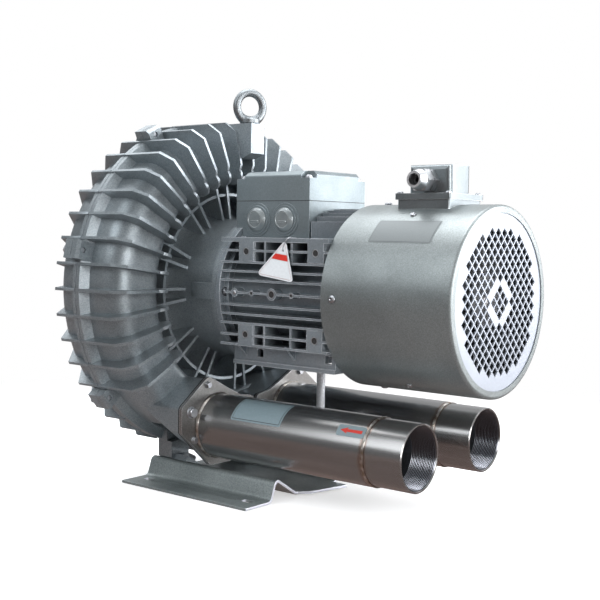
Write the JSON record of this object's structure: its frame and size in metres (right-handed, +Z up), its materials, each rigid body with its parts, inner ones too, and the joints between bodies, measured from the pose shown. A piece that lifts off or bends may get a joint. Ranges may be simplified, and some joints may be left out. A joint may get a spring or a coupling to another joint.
{
  "type": "side-channel air blower",
  "caption": "Side-channel air blower with a finned ring casing, flanged motor with separate cooling fan, two threaded silencer pipes and a pressed sheet base.",
  "frame": {"origin": "on the floor, in the middle of the four base slots", "axes": "+X along the shaft from the ring casing to the cowl grille, +Z up, -Y towards the inlet pipe"},
  "size_m": [0.611, 0.5088, 0.582],
  "materials": {
    "base_paint": "grey-green silver metallic paint, satin",
    "cast_casing": "cast, silver-grey metallic paint",
    "cast_aluminium": "as cast",
    "gasket": "matt",
    "seal_rubber": "satin",
    "zinc_steel": "bright zinc plating",
    "stainless": "polished along, heat tint near the welds",
    "foam": "sound-absorbing felt",
    "motor_paint": "cast, dark silver paint",
    "lamination": "stacked electrical steel",
    "copper_winding": "varnished copper wire",
    "bearing_steel": "ground",
    "box_paint": "grey-green silver paint",
    "board_plastic": "moulded",
    "cowl_paint": "sparkling silver paint",
    "grille_paint": "very light silver paint",
    "motor_black": "satin",
    "nickel_brass": "nickel-plated brass",
    "fan_plastic": "glass-filled"
  },
  "bodies": {
    "stator": {"base_plate": "base_paint", "front_casing": "cast_casing", "rear_cover": "cast_casing", "casing_gasket": "gasket", "casing_bolts": "zinc_steel", "foot_bolts": "zinc_steel", "shaft_seal": "seal_rubber", "inlet_flange": "stainless", "inlet_gasket": "gasket", "inlet_tube": "stainless", "inlet_socket": "stainless", "inlet_liner": "foam", "inlet_bolts": "zinc_steel", "outlet_flange": "stainless", "outlet_gasket": "gasket", "outlet_tube": "stainless", "outlet_socket": "stainless", "outlet_liner": "foam", "outlet_bolts": "zinc_steel", "drive_shield": "motor_paint", "flange_screws": "zinc_steel", "stator_housing": "motor_paint", "stator_core": "lamination", "windings": "copper_winding", "rear_shield": "motor_paint", "front_bearing": "bearing_steel", "rear_bearing": "bearing_steel", "terminal_box": "box_paint", "terminal_lid": "box_paint", "lid_screws": "zinc_steel", "conduit_plugs": "box_paint", "terminal_board": "board_plastic", "fan_cowl": "cowl_paint", "grille_disc": "grille_paint", "cowl_screws": "zinc_steel", "fan_spider": "motor_paint", "spider_screws": "zinc_steel", "fan_motor": "motor_black", "junction_box": "box_paint", "junction_cover": "cowl_paint", "junction_screws": "zinc_steel", "gland_body": "nickel_brass", "gland_nut": "nickel_brass", "gland_seal": "seal_rubber", "eye_bolt": "zinc_steel", "support_rod": "zinc_steel", "rod_nuts": "zinc_steel"},
    "rotor": {"motor_shaft": "bearing_steel", "rotor_core": "lamination", "impeller": "cast_aluminium", "impeller_nut": "zinc_steel"},
    "cooling_fan": {"fan_shaft": "bearing_steel", "axial_fan": "fan_plastic"}
  },
  "joints": [
    {"name": "rotor_spin", "type": "hinge", "parent": "stator", "child": "rotor", "pos_m": [0, 0, 0.287], "axis": [1, 0, 0], "continuous": true},
    {"name": "fan_spin", "type": "hinge", "parent": "stator", "child": "cooling_fan", "pos_m": [0.36, 0, 0.287], "axis": [1, 0, 0], "continuous": true}
  ]
}
